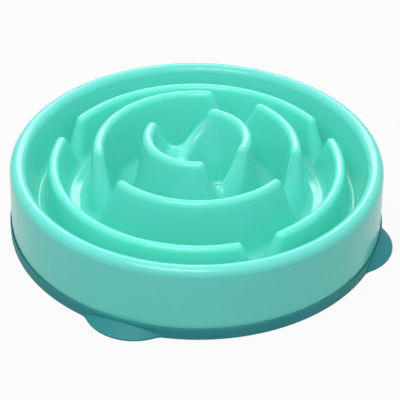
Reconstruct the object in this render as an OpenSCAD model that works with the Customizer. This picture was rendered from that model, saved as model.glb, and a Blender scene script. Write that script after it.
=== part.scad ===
/* [Bowl] */
// Diameter over the rounded rim
bowl_d = 280; // [272:1:310]
// Height of the rim's top above the table
rim_h = 58.5; // [50:0.5:70]
// Radius of the rounded rim
rim_r = 6; // [4.5:0.25:7]
// How much further out the skirt stands at its foot than at the rim
skirt_flare = 1.5; // [0.5:0.1:4]
// Lean of the bowl's inner wall from upright, in degrees
bowl_draft = 10; // [5:0.5:12]
// Height of the feeding floor above the table
floor_h = 21.5; // [16:0.5:28]
// Wall thickness of the moulding
wall_t = 2.5; // [1.6:0.1:3]
// Radius of the hollow corner where a wall meets the floor
foot_r = 6; // [4:0.25:8]

/* [Maze walls] */
// Radius of the rounded crest of every maze wall
crest_r = 4; // [3.5:0.1:5]
// Lean of the maze walls' sides from upright, in degrees
maze_draft = 8; // [4:0.5:10]
// Radius of the outer ring of walls, along its crest
outer_ring_r = 107.5; // [100:0.5:110]
// Height of the outer ring's crest above the table
outer_ring_h = 55; // [45:0.5:65]
// Clear gap between two walls of the outer ring, at the crest
outer_gap_w = 26.5; // [18:0.5:36]
// Radius of the middle ring of walls, along its crest
middle_ring_r = 73.7; // [68:0.1:78]
// Height of the middle ring's crest above the table
middle_ring_h = 69.2; // [55:0.1:75]
// Clear gap between two walls of the middle ring, at the crest
middle_gap_w = 37.5; // [25:0.5:45]
// Radius of the two centre walls, along their crest
centre_ring_r = 36.8; // [33:0.1:40]
// Height of the centre walls' crest above the table
centre_ring_h = 77; // [65:0.5:85]

/* [Cross ridge] */
// Height of the ridge's low saddle above the table
saddle_h = 54; // [45:0.5:68]
// Radius of the ridge's crest at the saddle
saddle_r = 5; // [4:0.1:8]
// How far the ridge's ends stay below the crest of the walls that they join
ridge_step = 0.6; // [0.3:0.1:1.2]
// Lean of the ridge's side that faces the front, in degrees
ridge_front_draft = 24; // [12:1:28]
// Lean of the ridge's side that faces the back, in degrees
ridge_back_draft = 12; // [6:1:16]
// Lean of the centre walls' ends, in degrees
centre_end_draft = 24; // [12:1:28]

/* [Non-slip ring] */
// Thickness of the ring's lip outside the skirt's foot
lip_t = 1; // [0.8:0.1:3]
// Height of the ring's lip, outside the skirt
lip_h = 9; // [6:0.5:14]
// Thickness of rubber under the skirt's foot
sole_t = 3.2; // [2:0.1:4.5]
// Width of the ring's sole
sole_w = 11; // [9:0.5:18]
// Thickness of the ring's upright inside the skirt
upright_t = 3; // [2:0.1:4.5]
// Play between the skirt and each side of the ring's groove
groove_play = 0.15; // [0.05:0.05:0.3]
// How far a gripping tab stands out of the ring
tab_reach = 10.5; // [6:0.5:16]
// Radius of a tab's rounded end
tab_r = 37; // [25:1:45]
// Radius of the hollow curve on each side of a tab
tab_blend_r = 43; // [25:1:60]
// Thickness of a tab
tab_t = 3; // [2:0.1:4.5]

/* [Hidden] */
$fn = 120;

// Middle of each gap in the outer and the middle ring, in degrees from the right-hand side
outer_gaps = [25, 157, 294.7];
middle_gaps = [66.3, 205.7, 338.6];
// First and last direction of each centre wall's crest, in degrees
right_wall = [-21, 74];
left_wall = [158, 273];
// Direction of each gripping tab, in degrees
tabs = [-111.5, -16, 116];
// Route of the ridge's crest, as shares of the centre walls' radius
ridge_route_shares = [
    [0.4, 0.95], [0.12, 0.88], [-0.12, 0.69], [-0.31, 0.4],
    [-0.34, 0.04], [-0.24, -0.42], [-0.09, -0.99],
];
// Height of the ridge at each point of its route: 0 is the saddle, 1 is where it joins a wall
ridge_rise_shares = [1, 0.62, 0.22, 0.02, 0, 0.34, 1];
// Steps of the smooth forms: between two points of a route, over a crest, down a foot, round an end
route_parts = 3;
crest_parts = 6;
foot_parts = 2;
end_parts = 4;
core_parts = 2;
// Largest turn between two steps of a centre wall and of the hollow inside it, in degrees
wall_turn = 10;
core_turn = 16;
// Share of a step of the route over which its direction is taken
near_share = 0.05;
// Swing of the last step round an end, in degrees; it stops just short of the middle
last_swing = 89;

// Centre of the rim's rounding in the bowl's section
rim_x = bowl_d / 2 - rim_r;
rim_z = rim_h - rim_r;
overrun = wall_t;
// How deep the maze walls stand in the floor
sink = wall_t / 2;
// How far the hollow curve at a wall's foot runs below the floor, so that it ends in the floor
foot_dip = foot_r / 60;
// How much smaller a wall's rounded end is than the wall that it ends
end_step = crest_r / 80;
// Distance by which the rounded ends' centres lie inside their walls
end_lap = crest_r / 8;
// Outer radius of the rubber ring
ring_r = bowl_d / 2 + skirt_flare + lip_t;

// How far from its middle line a leaning side stands at height z, if it touches a round
// of radius q whose centre is at height zc
function side_x(z, zc, q, lean) = (q - (z - zc) * sin(lean)) / cos(lean);

// Section of a maze wall about its middle line, with a hollow curve at each foot
module wall_section(h, inset = 0) {
    q = crest_r - inset;
    zc = h - crest_r;
    foot = foot_r + inset;
    foot_z = floor_h + foot_r - foot_dip;
    foot_x = side_x(foot_z, zc, q + foot, maze_draft);
    top_x = q * cos(maze_draft);
    top_z = zc + q * sin(maze_draft);
    low_x = foot_x - foot * cos(maze_draft);
    low_z = foot_z - foot * sin(maze_draft);
    translate([0, zc])
        circle(q);
    difference() {
        polygon([
            [-top_x, top_z], [-low_x, low_z], [-foot_x, floor_h - foot_dip], [-foot_x, floor_h - sink],
            [foot_x, floor_h - sink], [foot_x, floor_h - foot_dip], [low_x, low_z], [top_x, top_z],
        ]);
        for (side = [-1, 1])
            translate([side * foot_x, foot_z])
                circle(foot);
    }
}

// Section of the hollow inside a maze wall, open beneath the floor. Nothing shows of its top,
// which is a few flats.
module core_section(h) {
    q = crest_r - wall_t;
    zc = h - crest_r;
    low_z = floor_h - wall_t - overrun;
    low_x = side_x(low_z, zc, q, maze_draft);
    step = (90 - maze_draft) / core_parts;
    polygon(concat(
        [[-low_x, low_z], [low_x, low_z]],
        [for (a = [maze_draft : step : 180 - maze_draft]) [q * cos(a), zc + q * sin(a)]]
    ));
}

// Rounded end of a maze wall: its section turned about the middle of the wall. The turn starts
// inside the wall, so inward is 90 at the wall's first end and -90 at its last.
module wall_end(r, h, direction, inward) {
    rotate(direction)
        translate([r, 0])
            rotate(inward)
                translate([end_lap, 0])
                    rotate_extrude()
                        intersection() {
                            wall_section(h, end_step);
                            square([r, h]);
                        }
}

// Curved maze wall from one direction to another, with both ends rounded
module curved_wall(r, h, from, to) {
    rotate_extrude(start = from, angle = to - from)
        translate([r, 0])
            wall_section(h);
    wall_end(r, h, from, 90);
    wall_end(r, h, to, -90);
}

// Hollow inside a curved maze wall, which runs a little into the rounded ends
module curved_core(r, h, from, to) {
    on = asin((crest_r - wall_t) / r);
    rotate_extrude(start = from - on, angle = to - from + 2 * on)
        translate([r, 0])
            core_section(h);
}

// Ring of curved walls, or of the hollows inside them, with gaps between them
module wall_ring(r, h, gaps, gap_w, hollow = false) {
    half_gap = asin((gap_w / 2 + crest_r - end_step - end_lap) / r);
    for (i = [0 : len(gaps) - 1]) {
        next = i < len(gaps) - 1 ? gaps[i + 1] : gaps[0] + 360;
        if (hollow)
            curved_core(r, h, gaps[i] + half_gap, next - half_gap);
        else
            curved_wall(r, h, gaps[i] + half_gap, next - half_gap);
    }
}

// Smooth curve through four neighbouring points, at share t between the middle two
function smooth(a, b, c, d, t) =
    b + 0.5 * t * ((c - a) + t * ((2 * a - 5 * b + 4 * c - d) + t * (3 * (b - c) + d - a)));
function pick(list, i) = list[min(max(i, 0), len(list) - 1)];
function along(list, u) =
    let (i = min(floor(u), len(list) - 2))
    smooth(pick(list, i - 1), pick(list, i), pick(list, i + 1), pick(list, i + 2), u - i);

// One side of a centre wall's section, from its foot up to its crest, as [distance out, height].
// With an inset it is the side of the hollow inside, which has no curve at its foot.
function centre_side(h, round_r, inset, lean) =
    let (
        q = round_r - inset,
        zc = h - round_r,
        foot_z = floor_h + foot_r - foot_dip,
        foot_x = side_x(foot_z, zc, q + foot_r, lean),
        low_z = floor_h - inset - overrun,
        rounds = inset > 0 ? core_parts : crest_parts
    )
    concat(
        inset > 0 ? [[side_x(low_z, zc, q, lean), low_z]] : concat(
            [[foot_x, floor_h - sink]],
            [for (i = [0 : foot_parts]) let (a = 270 - (90 - lean) * i / foot_parts)
                [foot_x + foot_r * cos(a), foot_z + foot_r * sin(a)]]
        ),
        [for (i = [0 : rounds - 1]) let (a = lean + (90 - lean) * i / rounds)
            [q * cos(a), zc + q * sin(a)]]
    );

// Ring of points across a route at p, from its right foot over the crest to its left foot.
// The right and left sides lie in the directions right_way and left_way from p.
function across(p, right_way, left_way, right, left, top) = concat(
    [for (k = right) [p[0] + k[0] * right_way[0], p[1] + k[0] * right_way[1], k[1]]],
    [[p[0], p[1], top]],
    [for (i = [len(left) - 1 : -1 : 0]) let (k = left[i])
        [p[0] + k[0] * left_way[0], p[1] + k[0] * left_way[1], k[1]]]
);

// Ring of a centre wall at one direction from the bowl's axis
function centre_ring(a, inset) =
    let (side = centre_side(centre_ring_h, crest_r, inset, maze_draft), out = [cos(a), sin(a)])
    across(centre_ring_r * out, out, -out, side, side, centre_ring_h - inset);

// Rings of a centre wall's rounded end: both sides swing round until they meet, and the foot
// runs further out than the crest. The sense is 1 at the last end of the wall, -1 at its first.
function end_ring(a, sense, swing) =
    let (
        side = centre_side(centre_ring_h, crest_r, 0, maze_draft),
        slope = tan(centre_end_draft) - tan(maze_draft),
        zc = centre_ring_h - crest_r,
        out = [cos(a), sin(a)],
        on = sense * [-sin(a), cos(a)],
        p = centre_ring_r * out,
        reach = [for (k = side) k[0] + slope * max(zc - k[1], 0)],
        right = [for (i = [0 : len(side) - 1]) let (k = side[i])
            concat(p + k[0] * cos(swing) * out + reach[i] * sin(swing) * on, k[1])],
        left = [for (i = [len(side) - 1 : -1 : 0]) let (k = side[i])
            concat(p - k[0] * cos(swing) * out + reach[i] * sin(swing) * on, k[1])]
    )
    concat(right, [concat(p, centre_ring_h)], left);

// Centre wall from one direction to another, with both ends rounded and leaning
module centre_wall(from, to) {
    parts = ceil((to - from) / wall_turn);
    swings = [for (i = [1 : end_parts]) i < end_parts ? 90 * i / end_parts : last_swing];
    loft(concat(
        [for (i = [end_parts - 1 : -1 : 0]) end_ring(from, -1, swings[i])],
        [for (i = [0 : parts]) centre_ring(from + (to - from) * i / parts, 0)],
        [for (i = [0 : end_parts - 1]) end_ring(to, 1, swings[i])]
    ));
}

// Hollow inside a centre wall
module centre_core(from, to) {
    parts = ceil((to - from) / core_turn);
    loft([for (i = [0 : parts]) centre_ring(from + (to - from) * i / parts, wall_t)]);
}

// Ring of the ridge at share u of its route
function ridge_ring(u, inset) =
    let (
        last = len(ridge_route_shares) - 1,
        p = along(ridge_route_shares, u) * centre_ring_r,
        step = along(ridge_route_shares, min(u + near_share, last))
            - along(ridge_route_shares, max(u - near_share, 0)),
        way = step / norm(step),
        out = [way[1], -way[0]],
        rise = along(ridge_rise_shares, u),
        h = saddle_h + rise * (centre_ring_h - ridge_step - saddle_h),
        round_r = saddle_r + rise * (crest_r - ridge_step - saddle_r),
        steep = sin(180 * u / last),
        back = maze_draft + steep * (ridge_back_draft - maze_draft),
        front = maze_draft + steep * (ridge_front_draft - maze_draft)
    )
    across(p, out, -out, centre_side(h, round_r, inset, back),
        centre_side(h, round_r, inset, front), h - inset);

// Low ridge that crosses the centre from the right wall's back end to the left wall, or its hollow
module cross_ridge(inset) {
    parts = inset > 0 ? core_parts : route_parts;
    last = (len(ridge_route_shares) - 1) * parts;
    loft([for (i = [0 : last]) ridge_ring(i / parts, inset)]);
}

// Solid through a list of rings of points
module loft(rings) {
    n = len(rings[0]);
    last = len(rings) - 1;
    polyhedron(
        points = [for (ring = rings) each ring],
        faces = concat(
            [for (i = [0 : last - 1]) for (j = [0 : n - 1]) let (k = (j + 1) % n)
                each [[i * n + j, i * n + k, (i + 1) * n + k],
                      [i * n + j, (i + 1) * n + k, (i + 1) * n + j]]],
            [[for (j = [n - 1 : -1 : 0]) j]],
            [[for (j = [0 : n - 1]) last * n + j]]
        )
    );
}

// Brings a form that stands on height low to its full height h
module full_height(low, h) {
    translate([0, 0, low])
        resize([0, 0, h - low])
            translate([0, 0, -low])
                children();
}

// Both centre walls and the ridge between them, one form that stands in the floor
module centre_island() {
    full_height(floor_h - sink, centre_ring_h) {
        centre_wall(right_wall[0], right_wall[1]);
        centre_wall(left_wall[0], left_wall[1]);
        cross_ridge(0);
    }
}

// Hollow inside the centre island, open beneath the floor
module centre_hollow() {
    full_height(floor_h - wall_t - overrun, centre_ring_h - wall_t) {
        centre_core(right_wall[0], right_wall[1]);
        centre_core(left_wall[0], left_wall[1]);
        cross_ridge(wall_t);
    }
}

// Section of the bowl from its axis to its skirt; inset gives the hollow beneath it
module bowl_section(inset) {
    q = rim_r - inset;
    base = floor_h - inset;
    foot = foot_r + inset;
    foot_z = floor_h + foot_r;
    skirt_lean = atan(skirt_flare / (rim_z - sole_t));
    wall_x = rim_x - side_x(foot_z, rim_z, q + foot, bowl_draft);
    low_x = wall_x + foot * cos(bowl_draft);
    low_z = foot_z - foot * sin(bowl_draft);
    bottom = inset > 0 ? 0 : sole_t;
    translate([rim_x, rim_z])
        circle(q);
    difference() {
        polygon([
            [0, base], [wall_x, base], [low_x, low_z],
            [rim_x - q * cos(bowl_draft), rim_z + q * sin(bowl_draft)],
            [rim_x + q * cos(skirt_lean), rim_z + q * sin(skirt_lean)],
            [rim_x + side_x(bottom, rim_z, q, skirt_lean), bottom], [0, bottom],
        ]);
        translate([wall_x, foot_z])
            circle(foot);
    }
}

// One moulding of even thickness: rim, skirt, floor and maze walls, open beneath
module bowl() {
    color("mediumaquamarine")
        difference() {
            union() {
                rotate_extrude()
                    difference() {
                        bowl_section(0);
                        bowl_section(wall_t);
                    }
                wall_ring(outer_ring_r, outer_ring_h, outer_gaps, outer_gap_w);
                wall_ring(middle_ring_r, middle_ring_h, middle_gaps, middle_gap_w);
                centre_island();
            }
            wall_ring(outer_ring_r, outer_ring_h, outer_gaps, outer_gap_w, hollow = true);
            wall_ring(middle_ring_r, middle_ring_h, middle_gaps, middle_gap_w, hollow = true);
            centre_hollow();
        }
}

// Outline of one gripping tab, which flows out of the ring on hollow curves
module tab_outline() {
    tab_x = ring_r + tab_reach - tab_r;
    reach = ring_r + tab_blend_r;
    blend = acos((pow(reach, 2) + pow(tab_x, 2) - pow(tab_r + tab_blend_r, 2)) / (2 * reach * tab_x));
    blend_at = [reach * cos(blend), reach * sin(blend)];
    on_tab = [tab_x, 0] + (blend_at - [tab_x, 0]) * tab_r / (tab_r + tab_blend_r);
    on_ring = blend_at * ring_r / reach;
    translate([tab_x, 0])
        circle(tab_r);
    difference() {
        polygon([
            [tab_x, 0], [on_ring[0], -on_ring[1]], [on_tab[0], -on_tab[1]],
            on_tab, on_ring,
        ]);
        for (side = [-1, 1])
            translate([blend_at[0], side * blend_at[1]])
                circle(tab_blend_r);
    }
}

// Section of the rubber ring: sole, upright and outer lip around the skirt's groove
module ring_section() {
    foot_x = bowl_d / 2 + skirt_flare;
    upright_x = foot_x - wall_t - groove_play;
    difference() {
        union() {
            translate([ring_r - sole_w, 0])
                square([sole_w, sole_t]);
            translate([upright_x - upright_t, 0])
                square([ring_r - upright_x + upright_t, lip_h]);
        }
        translate([upright_x, sole_t])
            square([wall_t + 2 * groove_play, lip_h]);
    }
}

// Rubber ring that grips the skirt's foot and stands on the table
module non_slip_ring() {
    color("teal") {
        rotate_extrude()
            ring_section();
        difference() {
            linear_extrude(tab_t)
                for (direction = tabs)
                    rotate(direction)
                        tab_outline();
            translate([0, 0, -overrun])
                cylinder(h = tab_t + 2 * overrun, r = ring_r - sole_w / 2);
        }
    }
}

bowl();
non_slip_ring();
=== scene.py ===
"""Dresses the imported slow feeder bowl: one glossy moulding with a maze in it, on a rubber ring.

Everything is in metres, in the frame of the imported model: +Z is up along the bowl's axis and the
photograph is taken from the -Y side.
"""

import math

import bmesh
import bpy
import numpy as np
from mathutils import Matrix, Vector


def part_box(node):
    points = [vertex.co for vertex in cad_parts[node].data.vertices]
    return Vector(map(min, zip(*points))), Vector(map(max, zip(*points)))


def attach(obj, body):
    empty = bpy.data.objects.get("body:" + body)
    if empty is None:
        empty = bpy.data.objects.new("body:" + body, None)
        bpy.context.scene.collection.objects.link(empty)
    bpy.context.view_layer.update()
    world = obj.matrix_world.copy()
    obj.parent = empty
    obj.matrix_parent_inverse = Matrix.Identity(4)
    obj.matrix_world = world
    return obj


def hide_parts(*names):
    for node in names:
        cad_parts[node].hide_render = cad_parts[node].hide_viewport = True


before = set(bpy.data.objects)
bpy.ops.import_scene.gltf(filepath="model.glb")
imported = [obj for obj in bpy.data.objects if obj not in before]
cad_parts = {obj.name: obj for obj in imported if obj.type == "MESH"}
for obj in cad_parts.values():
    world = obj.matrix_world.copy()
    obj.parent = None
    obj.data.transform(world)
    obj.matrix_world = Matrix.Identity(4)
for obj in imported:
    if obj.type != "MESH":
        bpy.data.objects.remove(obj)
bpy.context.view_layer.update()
BOWL_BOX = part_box("bowl")

bl_info = {
    "name": "Slow Feeder Bowl",
    "version": (1, 0, 0),
    "blender": (4, 5, 0),
    "location": "3D View > Sidebar > Feeder",
    "description": "Builds a slow feeder bowl with a moulded maze on a non-slip rubber ring",
    "category": "Add Mesh",
}

MM = 0.001

# The moulding's section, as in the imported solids
RIM_RADIUS = 6 * MM
RIM_CENTRE_R = 134 * MM
RIM_CENTRE_Z = BOWL_BOX[1][2] - 24.5 * MM
SKIRT_FOOT_Z = BOWL_BOX[0][2]
SKIRT_LEAN = math.atan(1.5 / 49.3)
BOWL_DRAFT = math.radians(10)
FLOOR_Z = 21.5 * MM
FOOT_RADIUS = 6 * MM
FOOT_EDGE = 0.35 * MM

# Where the net of the maze meets the turned rim and skirt, on the bowl's inner wall
CUT_Z = 44 * MM
CUT_REACH = 6 * MM
SEAM = 1 * MM
WALL_FROM = 118 * MM
WALL_TO = 132 * MM
NET_BOTTOM = FLOOR_Z - 4.5 * MM
EDGE_TURNS = 180

# The net's outermost point and its lowest level, from which no level falls just on a crest
NET_REACH = 133 * MM
NET_LOW_Z = 13.2 * MM

# The hollows inside the maze walls: radii between the rings, and depth of their tops below the crests
HOLLOW_R = (55 * MM, 90 * MM)
HOLLOW_DEPTH = 8 * MM

# The two outer rings of maze walls: radius and height of the crest, half of a gap, gaps' middles
OUTER_RING = {"r": 107.5 * MM, "top": 55 * MM, "half_gap": 13.25 * MM, "gaps": (25, 157, 294.7)}
MIDDLE_RING = {"r": 73.7 * MM, "top": 69.2 * MM, "half_gap": 18.75 * MM, "gaps": (66.3, 205.7, 338.6)}

# The centre: two walls on one circle, and a low ridge from the right wall's back end to the left wall
CENTRE_R = 36.8 * MM
CENTRE_TOP = 77 * MM
CENTRE_RING = {"r": CENTRE_R, "top": CENTRE_TOP}
CENTRE_REACH = 60 * MM
RIGHT_WALL = (-23, 70)
LEFT_WALL = (158, 273)
RIDGE_TOP = 76.4 * MM
SADDLE_TOP = 50.5 * MM
SADDLE_RADIUS = 6.5 * MM
# Route of the ridge as shares of the centre circle's radius, and its height from saddle to crest
RIDGE = (
    ((0.40, 0.95), 1.0),
    ((0.14, 0.87), 0.64),
    ((-0.10, 0.68), 0.29),
    ((-0.29, 0.38), 0.08),
    ((-0.33, 0.04), 0.04),
    ((-0.24, -0.42), 0.4),
    ((-0.09, -0.99), 1.0),
)

# The rubber ring's section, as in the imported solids, and its tabs, which rise towards the ring
RING_R = 142.5 * MM
RING_TURNS = 720
SOLE_INNER_R = 131.5 * MM
SOLE_ROWS = (136 * MM, 140 * MM)
SOLE_T = 3.2 * MM
UPRIGHT_R = (135.85 * MM, 138.85 * MM)
LIP_INNER_R = 141.65 * MM
LIP_TOP = 9 * MM
TAB_AT = (-111.5, -16, 116)
TAB_REACH = 10.5 * MM
TAB_R = 37 * MM
TAB_BLEND_R = 12 * MM
TAB_EDGE_T = 1.6 * MM
TAB_ROOT_T = 7.2 * MM

# The table, just under the sole; the lamps' sizes and places; and the camera that took the photograph
TABLE_HALF = 4.0
TABLE_Z = -0.2 * MM
BACK_LAMP = ((0.7, 0.22), (0, 0.76, 0.52))
FRONT_LAMP = ((0.42, 0.28), (-0.11, -0.36, 0.75))
LAMP_AIM = (0, 0, 0.03)
CAMERA_ELEVATION = math.radians(35.946)
CAMERA_ROLL = math.radians(0.7905)
CAMERA_AIM = (2.72 * MM, 0, 16.69 * MM)
CAMERA_AWAY = 1089.9 * MM
CAMERA_LENS = 127.81


def linear(hex_colour):
    """Linear RGBA of an sRGB hex colour such as '#73EFDD'."""
    parts = [int(hex_colour[i : i + 2], 16) / 255 for i in (1, 3, 5)]
    return [p / 12.92 if p <= 0.04045 else ((p + 0.055) / 1.055) ** 2.4 for p in parts] + [1.0]


# --- Forms as distance fields: below nought inside the plastic, above it outside ---


def fillet(a, b, radius):
    """Joins two forms with a hollow curve of that radius."""
    near = np.hypot(np.maximum(radius - a, 0), np.maximum(radius - b, 0))
    return np.maximum(radius, np.minimum(a, b)) - near


def leaning_crest(off, rise, radius, lean):
    """A wall with a round crest and leaning sides: off its middle line, and above its crest's centre."""
    sine, cosine = np.sin(lean), np.cos(lean)
    side = off * cosine + rise * sine - radius
    return np.where(rise * cosine > off * sine, np.hypot(off, rise) - radius, side)


def bowl_form(r, z):
    """The moulding without its maze, filled in beneath the floor."""
    out, rise = r - RIM_CENTRE_R, z - RIM_CENTRE_Z
    skirt = out * math.cos(SKIRT_LEAN) + rise * math.sin(SKIRT_LEAN) - RIM_RADIUS
    inside = -out * math.cos(BOWL_DRAFT) + rise * math.sin(BOWL_DRAFT) - RIM_RADIUS
    over = (rise * math.cos(SKIRT_LEAN) > out * math.sin(SKIRT_LEAN)) & (
        rise * math.cos(BOWL_DRAFT) > -out * math.sin(BOWL_DRAFT)
    )
    wall = np.where(over, np.hypot(out, rise) - RIM_RADIUS, np.maximum(skirt, inside))
    return fillet(np.maximum(z - FLOOR_Z, out), wall, FOOT_RADIUS)


def end_run(depth, lean, draft, soft):
    """How much further out a leaning wall end stands at a depth below its crest. The turn from the
    crest to the lean is soft."""
    return (math.tan(lean) - math.tan(draft)) * (depth + np.sqrt(depth**2 + soft**2)) / 2


def curved_wall(r, turn, z, ring, first, last, leans, form):
    """A wall of the maze on a circle, between two directions, with a leaning end at each."""
    crest_z = ring["top"] - form.crest_radius
    away = (turn - (first + last) / 2 + math.pi) % (2 * math.pi) - math.pi
    ends = []
    for lean, sign in zip(leans, (-1, 1)):
        run = end_run(crest_z - z, lean, form.wall_draft, form.end_round)
        ends.append(r * (sign * away - (last - first) / 2) - run)
    beyond = np.maximum(np.maximum(*ends), 0)
    off = np.hypot(r - ring["r"], beyond)
    return leaning_crest(off, z - crest_z, form.crest_radius, form.wall_draft)


def ring_form(r, turn, z, ring, form):
    """The curved walls of one ring of the maze, with gaps between them."""
    half_gap = math.asin((ring["half_gap"] + form.crest_radius) / ring["r"])
    gaps = [math.radians(g) for g in ring["gaps"]]
    leans = (form.end_lean, form.end_lean)
    walls = [
        curved_wall(r, turn, z, ring, gap + half_gap, following - half_gap, leans, form)
        for gap, following in zip(gaps, gaps[1:] + [gaps[0] + 2 * math.pi])
    ]
    return np.minimum.reduce(walls)


def through(points, steps):
    """A smooth curve through rows of numbers, with so many steps between two rows."""
    padded = np.vstack([2 * points[0] - points[1], points, 2 * points[-1] - points[-2]])
    rows = []
    for i in range(1, len(padded) - 2):
        a, b, c, d = padded[i - 1 : i + 3]
        for t in np.arange(steps) / steps:
            bow = (2 * a - 5 * b + 4 * c - d) + t * (3 * (b - c) + d - a)
            rows.append(b + 0.5 * t * ((c - a) + t * bow))
    return np.array(rows + [points[-1]])


def nearest_on(x, y, route):
    """Place along a route as a row number with a fraction, the distance from it, and the side: 1 is
    its right. Points far from the centre only get the far distance."""
    place, off, side = np.zeros(x.shape), np.full(x.shape, CENTRE_REACH), np.ones(x.shape)
    near = np.hypot(x, y) < CENTRE_REACH
    x, y = x[near], y[near]
    best, at, way = np.full(x.shape, np.inf), np.zeros(x.shape), np.ones(x.shape)
    for i, (a, b) in enumerate(zip(route[:-1], route[1:])):
        step = b - a
        across_x, across_y = x - a[0], y - a[1]
        t = np.clip((across_x * step[0] + across_y * step[1]) / (step @ step), 0, 1)
        gap = np.hypot(across_x - t * step[0], across_y - t * step[1])
        closer = gap < best
        best = np.where(closer, gap, best)
        at = np.where(closer, i + t, at)
        way = np.where(closer, np.where(across_x * step[1] - across_y * step[0] > 0, 1.0, -1.0), way)
    place[near], off[near], side[near] = at, best, way
    return place, off, side


def ridge_form(x, y, z, form):
    """The low ridge along its route."""
    route = through(np.array([(u * CENTRE_R, v * CENTRE_R, rise) for (u, v), rise in RIDGE]), 16)
    place, off, side = nearest_on(x, y, route[:, :2])
    rise = np.clip(np.interp(place, np.arange(len(route)), route[:, 2]), 0, 1)
    top = SADDLE_TOP + rise * (RIDGE_TOP - SADDLE_TOP)
    radius = SADDLE_RADIUS + rise * (form.crest_radius - SADDLE_RADIUS)
    low = (1 - rise) ** 0.5
    side_lean = np.where(side > 0, form.ridge_back_lean, form.ridge_front_lean)
    lean = form.wall_draft + low * (side_lean - form.wall_draft)
    return leaning_crest(off, z - top + radius, radius, lean)


def centre_form(x, y, z, form):
    """The two centre walls and the ridge between them. The hollow curves where they meet grow with
    the depth below the crests, so that the walls and the ridge run down into one smooth funnel."""
    r, turn = np.hypot(x, y), np.arctan2(y, x)
    below = np.maximum(RIDGE_TOP - form.crest_radius - z, 0)
    walls = (
        (LEFT_WALL, (form.left_end_lean, form.front_end_lean), form.left_blend),
        (RIGHT_WALL, (form.right_end_lean, form.end_lean), form.right_blend),
    )
    whole = ridge_form(x, y, z, form)
    for ends, leans, blend in walls:
        wall = curved_wall(r, turn, z, CENTRE_RING, *np.radians(ends), leans, form)
        whole = fillet(whole, wall, np.minimum(blend * below, form.ridge_fillet))
    return whole


def moulding_form(x, y, z, form):
    """The whole moulding, filled in beneath."""
    r, turn = np.hypot(x, y), np.arctan2(y, x)
    maze = centre_form(x, y, z, form)
    for ring in (OUTER_RING, MIDDLE_RING):
        maze = np.minimum(maze, ring_form(r, turn, z, ring, form))
    return fillet(bowl_form(r, z), maze, FOOT_RADIUS)


# --- From a form to a mesh ---


def net_of(field, low, cell):
    """Points and four-sided faces where the field passes nought: one point in each crossed cell."""
    inside = field < 0
    counts = sum(
        inside[i : i - 1 or None, j : j - 1 or None, k : k - 1 or None].astype(np.int8)
        for i in (0, 1)
        for j in (0, 1)
        for k in (0, 1)
    )
    crossed = (counts > 0) & (counts < 8)
    number = np.full(crossed.shape, -1)
    number[crossed] = np.arange(crossed.sum())
    at = np.argwhere(crossed)
    total, hits = np.zeros((len(at), 3)), np.zeros(len(at))
    corners = [np.array((i, j, k)) for i in (0, 1) for j in (0, 1) for k in (0, 1)]
    for start in corners:
        for axis in range(3):
            if start[axis]:
                continue
            end = start.copy()
            end[axis] = 1
            f0 = field[tuple((at + start).T)]
            f1 = field[tuple((at + end).T)]
            cut = (f0 < 0) != (f1 < 0)
            share = np.where(cut, f0 / np.where(cut, f0 - f1, 1), 0)
            total += cut[:, None] * (start + share[:, None] * (end - start))
            hits += cut
    points = np.asarray(low) + cell * (at + total / hits[:, None])
    faces = []
    for axis in range(3):
        one, two = (axis + 1) % 3, (axis + 2) % 3
        ahead = np.swapaxes(inside, 0, axis)
        change = np.argwhere(ahead[:-1] != ahead[1:])
        edge = change.copy()
        edge[:, [0, axis]] = edge[:, [axis, 0]]
        keep = (edge[:, one] > 0) & (edge[:, two] > 0)
        keep &= (edge[:, one] < field.shape[one] - 1) & (edge[:, two] < field.shape[two] - 1)
        edge = edge[keep]
        ring = []
        for back_one, back_two in ((1, 1), (0, 1), (0, 0), (1, 0)):
            cell_at = edge.copy()
            cell_at[:, one] -= back_one
            cell_at[:, two] -= back_two
            ring.append(number[tuple(cell_at.T)])
        ring = np.stack(ring, 1)
        solid_first = inside[tuple(edge.T)]
        ring[~solid_first] = ring[~solid_first][:, ::-1]
        faces.append(ring)
    return points, np.vstack(faces)


def slope(at, value):
    """Value and slope of a field at points."""
    step = 0.02 * MM
    base = value(at)
    rise = [value(at + step * np.eye(3)[i]) - value(at - step * np.eye(3)[i]) for i in range(3)]
    return base, np.stack(rise, 1) / (2 * step)


def settle(points, value, cell):
    """Moves points onto the surface along its slope, in three moves of less than a cell."""
    for _ in range(3):
        base, rise = slope(points, value)
        steep = np.maximum((rise**2).sum(1), 0.25)
        move = -base / steep
        size = np.abs(move) * np.sqrt((rise**2).sum(1))
        move *= np.minimum(1, 0.6 * cell / np.maximum(size, 1e-12))
        points = points + move[:, None] * rise
    return points


def hollow_top(r):
    """Height where the hollow inside a maze wall ends, flat and still as wide as the net's cells."""
    tops = [CENTRE_TOP, MIDDLE_RING["top"], OUTER_RING["top"]]
    return np.select([r < HOLLOW_R[0], r < HOLLOW_R[1]], tops[:2], tops[2]) - HOLLOW_DEPTH


def moulding_net(form, cell, inset):
    """Net of the moulding's surface at a depth below its skin, within the bowl's inner wall."""
    steps = math.ceil(NET_REACH / cell)
    flat = np.arange(-steps, steps + 1) * cell
    high = np.arange(NET_LOW_Z, CENTRE_TOP + 3 * cell, cell)
    x, y = np.meshgrid(flat, flat, indexing="ij")

    def depth(x, y, z):
        skin = moulding_form(x, y, z, form) + inset
        return np.maximum(skin, z - hollow_top(np.hypot(x, y))) if inset else skin

    field = depth(x[:, :, None], y[:, :, None], high[None, None, :])
    points, faces = net_of(field, (flat[0], flat[0], NET_LOW_Z), cell)

    def value(at):
        return depth(at[:, 0], at[:, 1], at[:, 2])

    return settle(points, value, cell), faces


def bend(centre, radius, first, last, steps):
    """Rows of a section round a centre, between two directions in degrees."""
    turns = np.radians(np.linspace(first, last, steps + 1))
    return [(centre[0] + radius * math.cos(t), centre[1] + radius * math.sin(t)) for t in turns]


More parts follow.
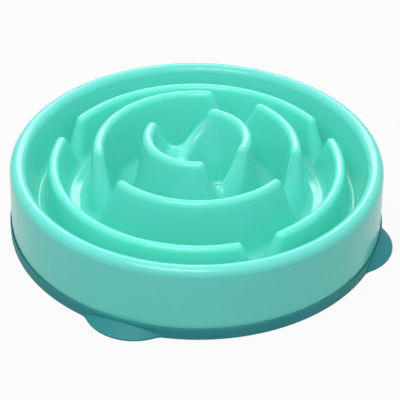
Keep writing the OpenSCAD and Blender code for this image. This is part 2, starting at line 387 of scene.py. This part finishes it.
def edge_section(form):
    """The section outside the maze, from the bowl's inner wall over the rim, down and back beneath."""
    t = form.wall_thickness
    draft, lean = math.degrees(BOWL_DRAFT), math.degrees(SKIRT_LEAN)
    rim = (RIM_CENTRE_R, RIM_CENTRE_Z)

    def side(z, radius, tilt):
        return (radius - (z - RIM_CENTRE_Z) * math.sin(tilt)) / math.cos(tilt)

    def inner(z, radius):
        return RIM_CENTRE_R - side(z, radius, BOWL_DRAFT), z

    def outer(z, radius):
        return RIM_CENTRE_R + side(z, radius, SKIRT_LEAN), z

    low, high = CUT_Z + SEAM, RIM_CENTRE_Z
    skin, back = RIM_RADIUS, RIM_RADIUS - t
    rows = [inner(z, skin) for z in np.linspace(low, high, 4)[:-1]]
    rows += bend(rim, skin, 180 - draft, lean, 16)
    rows += [outer(z, skin) for z in np.linspace(high, SKIRT_FOOT_Z + FOOT_EDGE, 6)[1:]]
    rows += [(outer(SKIRT_FOOT_Z, skin)[0] - FOOT_EDGE, SKIRT_FOOT_Z)]
    rows += [(outer(SKIRT_FOOT_Z, back)[0] + FOOT_EDGE, SKIRT_FOOT_Z)]
    rows += [outer(z, back) for z in np.linspace(SKIRT_FOOT_Z + FOOT_EDGE, high, 5)[:-1]]
    rows += bend(rim, back, lean, 180 - draft, 6)
    rows += [inner(z, back) for z in np.linspace(high, low, 4)[1:]]
    return np.array(rows)


def turned(section, turns):
    """Points and faces of an open section turned about the bowl's axis."""
    angles = np.arange(turns) * 2 * math.pi / turns
    r, z = section[:, 0], section[:, 1]
    points = np.stack(
        [np.outer(np.cos(angles), r), np.outer(np.sin(angles), r), np.tile(z, (turns, 1))], 2
    ).reshape(-1, 3)
    rows = len(section)
    i, j = np.meshgrid(np.arange(turns), np.arange(rows - 1), indexing="ij")
    ahead = (i + 1) % turns
    faces = np.stack([i * rows + j, i * rows + j + 1, ahead * rows + j + 1, ahead * rows + j], 2)
    return points, faces.reshape(-1, 4)


def add_net(made, points, faces):
    """Adds a net to a bmesh and gives back its faces."""
    verts = [made.verts.new(p) for p in points]
    return [made.faces.new([verts[i] for i in face]) for face in faces]


def trim_net(made, net):
    """Cuts a net off level on the bowl's inner wall, and drops what lies beyond that wall."""

    def on_wall(face):
        middle = face.calc_center_median()
        return math.hypot(middle.x, middle.y) > WALL_FROM and abs(middle.z - CUT_Z) < CUT_REACH

    wall = [f for f in net if on_wall(f)]
    parts = {e for f in wall for e in f.edges} | {v for f in wall for v in f.verts} | set(wall)
    before = set(made.faces)
    bmesh.ops.bisect_plane(made, geom=list(parts), plane_co=(0, 0, CUT_Z), plane_no=(0, 0, 1), dist=1e-7)
    after = {f for f in net if f.is_valid} | (set(made.faces) - before)
    gone = []
    for face in after:
        middle = face.calc_center_median()
        reach = math.hypot(middle.x, middle.y)
        if reach > WALL_TO or (reach > WALL_FROM and middle.z > CUT_Z) or middle.z < NET_BOTTOM:
            gone.append(face)
    bmesh.ops.delete(made, geom=gone, context="FACES")


def open_loop(made, low_r, high_r, low_z, high_z):
    """Open edges within a ring-shaped space."""
    found = []
    for edge in made.edges:
        if len(edge.link_faces) != 1:
            continue
        middle = (edge.verts[0].co + edge.verts[1].co) / 2
        reach = math.hypot(middle.x, middle.y)
        if low_r < reach < high_r and low_z < middle.z < high_z:
            found.append(edge)
    return found


def moulding_mesh(form):
    """The bowl's mesh: the maze from its form, the rim and skirt turned, and the seams between closed."""
    made = bmesh.new()
    points, faces = moulding_net(form, form.cell, 0)
    trim_net(made, add_net(made, points, faces))
    points, faces = moulding_net(form, form.hidden_cell, form.wall_thickness)
    trim_net(made, add_net(made, points, faces[:, ::-1]))
    add_net(made, *turned(edge_section(form), EDGE_TURNS))
    middle_r = RIM_CENTRE_R - (RIM_RADIUS - form.wall_thickness / 2)
    middle_r -= (RIM_CENTRE_Z - CUT_Z) * math.tan(BOWL_DRAFT)
    for low_r, high_r in ((WALL_FROM, middle_r), (middle_r, WALL_TO)):
        loop = open_loop(made, low_r, high_r, CUT_Z - SEAM / 2, CUT_Z + 1.5 * SEAM)
        bmesh.ops.bridge_loops(made, edges=loop)
    bmesh.ops.dissolve_degenerate(made, dist=1e-6, edges=made.edges)
    bmesh.ops.recalc_face_normals(made, faces=made.faces)
    mesh = bpy.data.meshes.new("bowl_moulding")
    made.to_mesh(mesh)
    made.free()
    return mesh


def smooth_by_form(mesh, form):
    """Gives every point the surface's own direction, so that gloss runs evenly over the net."""
    at = np.zeros(len(mesh.vertices) * 3, np.float32)
    mesh.vertices.foreach_get("co", at)
    at = at.reshape(-1, 3).astype(float)
    depth, rise = slope(at, lambda p: moulding_form(p[:, 0], p[:, 1], p[:, 2], form))
    size = np.maximum(np.linalg.norm(rise, axis=1), 1e-9)
    out = rise / size[:, None]
    near = 0.3 * MM
    beneath = np.abs(depth + form.wall_thickness) < near
    known = (np.abs(depth) < near) | beneath
    known &= at[:, 2] > SKIRT_FOOT_Z + 2 * FOOT_EDGE
    out[beneath] *= -1
    out[~known] = 0
    mesh.shade_smooth()
    mesh.normals_split_custom_set_from_vertices([tuple(n) for n in out])


# --- The rubber ring ---


def tab_reach(turn):
    """How far the ring's outline stands out of its circle at a direction, because of the tabs."""
    tab_x = RING_R + TAB_REACH - TAB_R
    reach = RING_R + TAB_BLEND_R
    blend = math.acos((reach**2 + tab_x**2 - (TAB_R + TAB_BLEND_R) ** 2) / (2 * reach * tab_x))
    share = TAB_R / (TAB_R + TAB_BLEND_R)
    join = np.array([tab_x, 0]) * (1 - share) + reach * np.array([math.cos(blend), math.sin(blend)]) * share
    join_turn = math.atan2(join[1], join[0])
    best = 0.0
    for tab in TAB_AT:
        off = abs((turn - math.radians(tab) + math.pi) % (2 * math.pi) - math.pi)
        if off < join_turn:
            r = tab_x * math.cos(off) + math.sqrt(TAB_R**2 - (tab_x * math.sin(off)) ** 2)
        elif off < blend:
            off -= blend
            r = reach * math.cos(off) - math.sqrt(TAB_BLEND_R**2 - (reach * math.sin(off)) ** 2)
        else:
            continue
        best = max(best, r - RING_R)
    return best


def ring_section(reach):
    """Closed section of the rubber ring where its outline stands out by reach."""
    share = min(reach / TAB_REACH, 1)
    tip = RING_R + reach
    # Roundings of the sole's and the upright's corners, of the lip's edge and of the tab's edge
    low, soft, edge = 0.5 * MM, 0.6 * MM, 0.4 * MM
    root = TAB_EDGE_T + (TAB_ROOT_T - TAB_EDGE_T) * share**0.8
    rows = [(r, 0) for r in (SOLE_INNER_R + low, *SOLE_ROWS, RING_R - soft, tip - edge * 0.9)]
    rows += bend((tip - edge, edge), edge, -75, 0, 3)
    rows += bend((tip - edge, TAB_EDGE_T - edge), edge, 0, 62, 3)
    # The tab's upper side, a slightly hollow slope from its edge to the ring
    for up in (0.2, 0.4, 0.6, 0.8, 0.93, 1):
        inward = (tip - 0.6 * edge - RING_R) * (1 - up)
        rows.append((RING_R + inward, TAB_EDGE_T + (root - TAB_EDGE_T) * up * (0.85 + 0.15 * up)))
    rows += [(RING_R, root + (LIP_TOP - soft - root) * s) for s in (0.3, 0.65, 1)]
    rows += [(RING_R - 0.12 * MM, LIP_TOP - 0.2 * MM), (RING_R - 0.35 * MM, LIP_TOP)]
    rows += [(LIP_INNER_R + 0.15 * MM, LIP_TOP), (LIP_INNER_R, LIP_TOP - 0.2 * MM)]
    rows += [(LIP_INNER_R, SOLE_T), (UPRIGHT_R[1], SOLE_T)]
    rows += [(UPRIGHT_R[1], LIP_TOP - low)]
    rows += bend((UPRIGHT_R[1] - low, LIP_TOP - low), low, 20, 90, 3)
    rows += bend((UPRIGHT_R[0] + low, LIP_TOP - low), low, 90, 180, 3)
    rows += bend((UPRIGHT_R[0] - 1 * MM, SOLE_T + 1 * MM), 1 * MM, 0, -90, 3)
    rows += bend((SOLE_INNER_R + low, SOLE_T - low), low, 90, 180, 3)
    rows += bend((SOLE_INNER_R + low, low), low, 180, 250, 3)
    return rows


def ring_mesh():
    """The rubber ring: its section carried round the bowl, swelling where the tabs are."""
    points, faces = [], []
    for i in range(RING_TURNS):
        turn = 2 * math.pi * i / RING_TURNS
        section = ring_section(tab_reach(turn))
        points += [(r * math.cos(turn), r * math.sin(turn), z) for r, z in section]
    rows = len(section)
    for i in range(RING_TURNS):
        ahead = (i + 1) % RING_TURNS
        for j in range(rows):
            k = (j + 1) % rows
            faces.append((i * rows + j, ahead * rows + j, ahead * rows + k, i * rows + k))
    mesh = bpy.data.meshes.new("rubber_ring")
    mesh.from_pydata(points, [], faces)
    mesh.update()
    mesh.shade_smooth()
    mesh.set_sharp_from_angle(angle=math.radians(35))
    return mesh


# --- Finishes ---


def node(tree, kind, settings=None, inputs=None):
    """Adds a node with its settings, and sets or links its inputs."""
    made = tree.nodes.new(kind)
    for key, value in (settings or {}).items():
        setattr(made, key, value)
    for key, value in (inputs or {}).items():
        if isinstance(value, bpy.types.NodeSocket):
            tree.links.new(value, made.inputs[key])
        else:
            made.inputs[key].default_value = value
    return made


def new_material(name):
    """An empty node material and its tree."""
    material = bpy.data.materials.new(name)
    material.use_nodes = True
    material.node_tree.nodes.clear()
    return material, material.node_tree


def moulded_polypropylene(finish):
    """Glossy moulded polypropylene. A polished mould gives a wet-looking skin with a faint unevenness,
    and light soaks a little way into the thin walls, so that the crests glow."""
    material, tree = new_material("Moulded_Polypropylene")
    place = node(tree, "ShaderNodeTexCoord").outputs["Object"]
    # Slow drift of the pigment, about 60 mm across
    drift = node(tree, "ShaderNodeTexNoise", None, {"Vector": place, "Scale": 1 / 0.06, "Detail": 2.0})
    tint = node(
        tree,
        "ShaderNodeMix",
        {"data_type": "RGBA"},
        {"Factor": drift.outputs["Fac"], "A": linear(finish.deep), "B": linear(finish.light)},
    )
    # The mould's skin: waves about 9 mm across and a fine grain of 0.8 mm
    wave = node(tree, "ShaderNodeTexNoise", None, {"Vector": place, "Scale": 1 / 0.009, "Detail": 1.0})
    grain = node(tree, "ShaderNodeTexNoise", None, {"Vector": place, "Scale": 1 / 0.0008, "Detail": 2.0})
    gloss = node(
        tree,
        "ShaderNodeMapRange",
        None,
        {
            "Value": grain.outputs["Fac"],
            "To Min": finish.roughness - 0.02,
            "To Max": finish.roughness + 0.03,
        },
    )
    skin = node(
        tree, "ShaderNodeBump", None, {"Height": wave.outputs["Fac"], "Strength": 0.1, "Distance": 0.0005}
    )
    fine = node(
        tree,
        "ShaderNodeBump",
        None,
        {
            "Height": grain.outputs["Fac"],
            "Strength": 0.02,
            "Distance": 0.0001,
            "Normal": skin.outputs["Normal"],
        },
    )
    shader = node(
        tree,
        "ShaderNodeBsdfPrincipled",
        None,
        {
            "Base Color": tint.outputs["Result"],
            "Roughness": gloss.outputs["Result"],
            "IOR": 1.49,
            "Subsurface Weight": finish.soak,
            "Subsurface Radius": (0.004, 0.008, 0.007),
            "Subsurface Scale": 1.0,
            "Normal": fine.outputs["Normal"],
        },
    )
    node(tree, "ShaderNodeOutputMaterial", None, {"Surface": shader.outputs["BSDF"]})
    return material


def moulded_rubber(finish):
    """Satin moulded thermoplastic rubber: even, half matt, with the fine texture of a blasted mould."""
    material, tree = new_material("Moulded_Rubber")
    place = node(tree, "ShaderNodeTexCoord").outputs["Object"]
    # Blast texture of about 0.7 mm, coarser than the real 0.2 mm so that it shows
    grit = node(tree, "ShaderNodeTexNoise", None, {"Vector": place, "Scale": 1 / 0.0007, "Detail": 3.0})
    cloud = node(tree, "ShaderNodeTexNoise", None, {"Vector": place, "Scale": 1 / 0.03, "Detail": 2.0})
    tint = node(
        tree,
        "ShaderNodeMix",
        {"data_type": "RGBA"},
        {"Factor": cloud.outputs["Fac"], "A": linear(finish.deep), "B": linear(finish.light)},
    )
    matt = node(
        tree,
        "ShaderNodeMapRange",
        None,
        {
            "Value": grit.outputs["Fac"],
            "To Min": finish.roughness - 0.06,
            "To Max": finish.roughness + 0.08,
        },
    )
    bump = node(
        tree, "ShaderNodeBump", None, {"Height": grit.outputs["Fac"], "Strength": 0.15, "Distance": 0.0001}
    )
    shader = node(
        tree,
        "ShaderNodeBsdfPrincipled",
        None,
        {
            "Base Color": tint.outputs["Result"],
            "Roughness": matt.outputs["Result"],
            "IOR": 1.5,
            "Specular IOR Level": 0.35,
            "Normal": bump.outputs["Normal"],
        },
    )
    node(tree, "ShaderNodeOutputMaterial", None, {"Surface": shader.outputs["BSDF"]})
    return material


def pale_floor(stage):
    """A plain pale table. The camera sees it nearly white, with the bowl's soft shadow on it, and
    shiny skins mirror part of that white."""
    material, tree = new_material("White_Table")
    surface = node(tree, "ShaderNodeBsdfDiffuse", None, {"Color": linear(stage.floor)})
    glow = node(tree, "ShaderNodeEmission", None, {"Color": (1, 1, 1, 1), "Strength": 1.0})
    path = node(tree, "ShaderNodeLightPath").outputs
    seen = node(
        tree,
        "ShaderNodeMath",
        {"operation": "MULTIPLY_ADD"},
        {0: path["Is Glossy Ray"], 1: stage.floor_gloss, 2: path["Is Camera Ray"]},
    )
    white = node(
        tree, "ShaderNodeMath", {"operation": "MULTIPLY"}, {0: seen.outputs["Value"], 1: stage.floor_glow}
    )
    both = node(
        tree,
        "ShaderNodeMixShader",
        None,
        {0: white.outputs["Value"], 1: surface.outputs["BSDF"], 2: glow.outputs["Emission"]},
    )
    node(tree, "ShaderNodeOutputMaterial", None, {"Surface": both.outputs["Shader"]})
    return material


# --- The add-on ---


def metres(name, description, default):
    """A length property, in metres."""
    return bpy.props.FloatProperty(
        name=name, description=description, default=default, unit="LENGTH", precision=5, min=0.0
    )


def amount(name, description, default):
    """A plain number as a property: a share, a strength or a power."""
    return bpy.props.FloatProperty(name=name, description=description, default=default, min=0.0)


def degrees(name, description, default):
    """An angle property, given in degrees."""
    return bpy.props.FloatProperty(
        name=name, description=description, default=math.radians(default), unit="ROTATION"
    )


def colour(name, description, default):
    """An sRGB hex colour as text."""
    return bpy.props.StringProperty(name=name, description=description, default=default, maxlen=7)


class FeederMouldingForm(bpy.types.PropertyGroup):
    """Sizes of the maze that a user would change."""

    crest_radius: metres("Crest radius", "Radius of the rounded crest of the maze walls", 4 * MM)
    wall_draft: degrees("Wall draft", "Lean of the maze walls' sides from upright", 8)
    end_lean: degrees("End lean", "Lean of the maze walls' ends from upright", 27)
    left_end_lean: degrees("Left end lean", "Lean of the left centre wall's back end", 30)
    right_end_lean: degrees("Right end lean", "Lean of the right centre wall's front end", 33)
    front_end_lean: degrees("Front end lean", "Lean of the left centre wall's front end", 18)
    end_round: metres("End rounding", "How softly a wall's crest turns down at its end", 5 * MM)
    ridge_front_lean: degrees("Ridge front lean", "Lean of the ridge's side that faces the front", 24)
    ridge_back_lean: degrees("Ridge back lean", "Lean of the ridge's side that faces the back", 12)
    ridge_fillet: metres("Ridge fillet", "Largest hollow curve between ridge and centre walls", 14 * MM)
    left_blend: amount("Left blend", "Growth of that curve with the depth, at the left wall", 0.55)
    right_blend: amount("Right blend", "Growth of that curve with the depth, at the right wall", 0.4)
    wall_thickness: metres("Wall thickness", "Thickness of the moulding", 2.5 * MM)
    cell: metres("Net", "Width of the mesh's cells on the upper side", 1.95 * MM)
    hidden_cell: metres("Hidden net", "Width of the mesh's cells on the underside", 2.4 * MM)


class FeederMouldingFinish(bpy.types.PropertyGroup):
    """Finish of the moulding."""

    light: colour("Light", "Lighter colour of the plastic", "#73EFDD")
    deep: colour("Deep", "Deeper colour of the plastic", "#6BEAD6")
    roughness: amount("Roughness", "Roughness of the polished skin, from 0 to 1", 0.19)
    soak: amount("Soak", "Share of light that soaks into the plastic", 0.55)


class FeederRubberFinish(bpy.types.PropertyGroup):
    """Finish of the rubber ring."""

    light: colour("Light", "Lighter colour of the rubber", "#2C9498")
    deep: colour("Deep", "Deeper colour of the rubber", "#268A8E")
    roughness: amount("Roughness", "Roughness of the satin rubber, from 0 to 1", 0.5)


class FeederStage(bpy.types.PropertyGroup):
    """The floor and the light round the bowl."""

    floor: colour("Floor", "Colour of the table", "#A8ACAC")
    floor_glow: amount("Floor glow", "Share of plain white in the table that the camera sees", 0.94)
    floor_gloss: amount("Floor gloss", "Share of that white that shiny skins mirror", 0.75)
    horizon: amount("Horizon", "Strength of the sky at the horizon", 0.33)
    zenith: amount("Zenith", "Strength of the sky overhead", 0.95)
    back: amount("Back", "Power of the wide lamp behind, in watts", 2.5)
    front: amount("Front", "Power of the lamp above in front, in watts", 2.1)


class FEEDER_OT_bowl(bpy.types.Operator):
    """Build the moulded bowl with its maze"""

    bl_idname = "feeder.bowl"
    bl_label = "Bowl"

    def execute(self, context):
        form = context.scene.feeder_form
        mesh = moulding_mesh(form)
        smooth_by_form(mesh, form)
        mesh.materials.append(moulded_polypropylene(context.scene.feeder_plastic))
        bowl = bpy.data.objects.new("bowl_moulding", mesh)
        context.scene.collection.objects.link(bowl)
        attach(bowl, "root")
        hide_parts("bowl")
        return {"FINISHED"}


class FEEDER_OT_ring(bpy.types.Operator):
    """Build the non-slip rubber ring with its tabs"""

    bl_idname = "feeder.ring"
    bl_label = "Rubber ring"

    def execute(self, context):
        mesh = ring_mesh()
        mesh.materials.append(moulded_rubber(context.scene.feeder_rubber))
        ring = bpy.data.objects.new("rubber_ring", mesh)
        context.scene.collection.objects.link(ring)
        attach(ring, "root")
        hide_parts("non_slip_ring")
        return {"FINISHED"}


class FEEDER_OT_stage(bpy.types.Operator):
    """Set up the floor, the lamps, the sky and the camera"""

    bl_idname = "feeder.stage"
    bl_label = "Stage"

    def execute(self, context):
        scene, stage = context.scene, context.scene.feeder_stage
        add_floor(scene, stage)
        add_light(scene, stage)
        add_camera(scene)
        scene.view_settings.view_transform = "Standard"
        return {"FINISHED"}


def add_floor(scene, stage):
    """A wide plain table under the ring."""
    mesh = bpy.data.meshes.new("table_top")
    corners = [(x * TABLE_HALF, y * TABLE_HALF, 0) for x, y in ((-1, -1), (1, -1), (1, 1), (-1, 1))]
    mesh.from_pydata(corners, [], [(0, 1, 2, 3)])
    mesh.materials.append(pale_floor(stage))
    floor = bpy.data.objects.new("table_top", mesh)
    floor.location.z = TABLE_Z
    scene.collection.objects.link(floor)


def add_light(scene, stage):
    """A white sky that is brighter overhead, a wide lamp behind that glints on the crests, and a soft
    one above in front."""
    world = bpy.data.worlds.new("studio")
    scene.world = world
    world.use_nodes = True
    tree = world.node_tree
    tree.nodes.clear()
    place = node(tree, "ShaderNodeTexCoord").outputs["Generated"]
    height = node(tree, "ShaderNodeSeparateXYZ", None, {"Vector": place}).outputs["Z"]
    level = node(
        tree, "ShaderNodeMapRange", None, {"Value": height, "To Min": stage.horizon, "To Max": stage.zenith}
    )
    sky = node(
        tree, "ShaderNodeBackground", None, {"Color": (1, 1, 1, 1), "Strength": level.outputs["Result"]}
    )
    node(tree, "ShaderNodeOutputWorld", None, {"Surface": sky.outputs["Background"]})
    add_lamp(scene, "back", stage.back, *BACK_LAMP)
    add_lamp(scene, "front", stage.front, *FRONT_LAMP)


def add_lamp(scene, name, power, size, place):
    """A soft lamp of some width and height, which points at the bowl."""
    lamp = bpy.data.lights.new(name, "AREA")
    lamp.shape = "RECTANGLE"
    lamp.size, lamp.size_y = size
    lamp.energy = power
    holder = bpy.data.objects.new(name, lamp)
    scene.collection.objects.link(holder)
    holder.location = place
    aim = Vector(LAMP_AIM) - holder.location
    holder.rotation_euler = aim.to_track_quat("-Z", "Y").to_euler()


def add_camera(scene):
    """The camera where the photograph was taken: 36 degrees above the table, 1.09 m away."""
    sine, cosine = math.sin(CAMERA_ELEVATION), math.cos(CAMERA_ELEVATION)
    back, up = Vector((0, -cosine, sine)), Vector((0, sine, cosine))
    right = Vector((1, 0, 0))
    turned_right = right * math.cos(CAMERA_ROLL) + up * math.sin(CAMERA_ROLL)
    turned_up = up * math.cos(CAMERA_ROLL) - right * math.sin(CAMERA_ROLL)
    camera = bpy.data.cameras.new("camera")
    camera.sensor_width = 36
    camera.lens = CAMERA_LENS
    camera.clip_start, camera.clip_end = 0.05, 20
    holder = bpy.data.objects.new("camera", camera)
    scene.collection.objects.link(holder)
    place = Matrix((turned_right, turned_up, back)).transposed().to_4x4()
    place.translation = Vector(CAMERA_AIM) + back * CAMERA_AWAY
    holder.matrix_world = place
    scene.camera = holder


class FEEDER_PT_panel(bpy.types.Panel):
    """Lists the feeder's pieces and their settings"""

    bl_idname = "FEEDER_PT_panel"
    bl_label = "Slow feeder bowl"
    bl_space_type = "VIEW_3D"
    bl_region_type = "UI"
    bl_category = "Feeder"

    def draw(self, context):
        layout, scene = self.layout, context.scene
        groups = (
            ("feeder.bowl", (scene.feeder_form, scene.feeder_plastic)),
            ("feeder.ring", (scene.feeder_rubber,)),
            ("feeder.stage", (scene.feeder_stage,)),
        )
        for operator, settings in groups:
            box = layout.box()
            box.operator(operator)
            for group in settings:
                for name in group.__annotations__:
                    box.prop(group, name)


CLASSES = (
    FeederMouldingForm,
    FeederMouldingFinish,
    FeederRubberFinish,
    FeederStage,
    FEEDER_OT_bowl,
    FEEDER_OT_ring,
    FEEDER_OT_stage,
    FEEDER_PT_panel,
)
SETTINGS = {
    "feeder_form": FeederMouldingForm,
    "feeder_plastic": FeederMouldingFinish,
    "feeder_rubber": FeederRubberFinish,
    "feeder_stage": FeederStage,
}


def register():
    """Adds the add-on's classes and its settings on the scene."""
    for made in CLASSES:
        bpy.utils.register_class(made)
    for name, group in SETTINGS.items():
        setattr(bpy.types.Scene, name, bpy.props.PointerProperty(type=group))


def unregister():
    """Takes the add-on's classes and settings away again."""
    for name in SETTINGS:
        delattr(bpy.types.Scene, name)
    for made in reversed(CLASSES):
        bpy.utils.unregister_class(made)


def main():
    """Builds every piece and the stage."""
    register()
    bpy.ops.feeder.stage()
    bpy.ops.feeder.bowl()
    bpy.ops.feeder.ring()


if __name__ == "__main__":
    main()
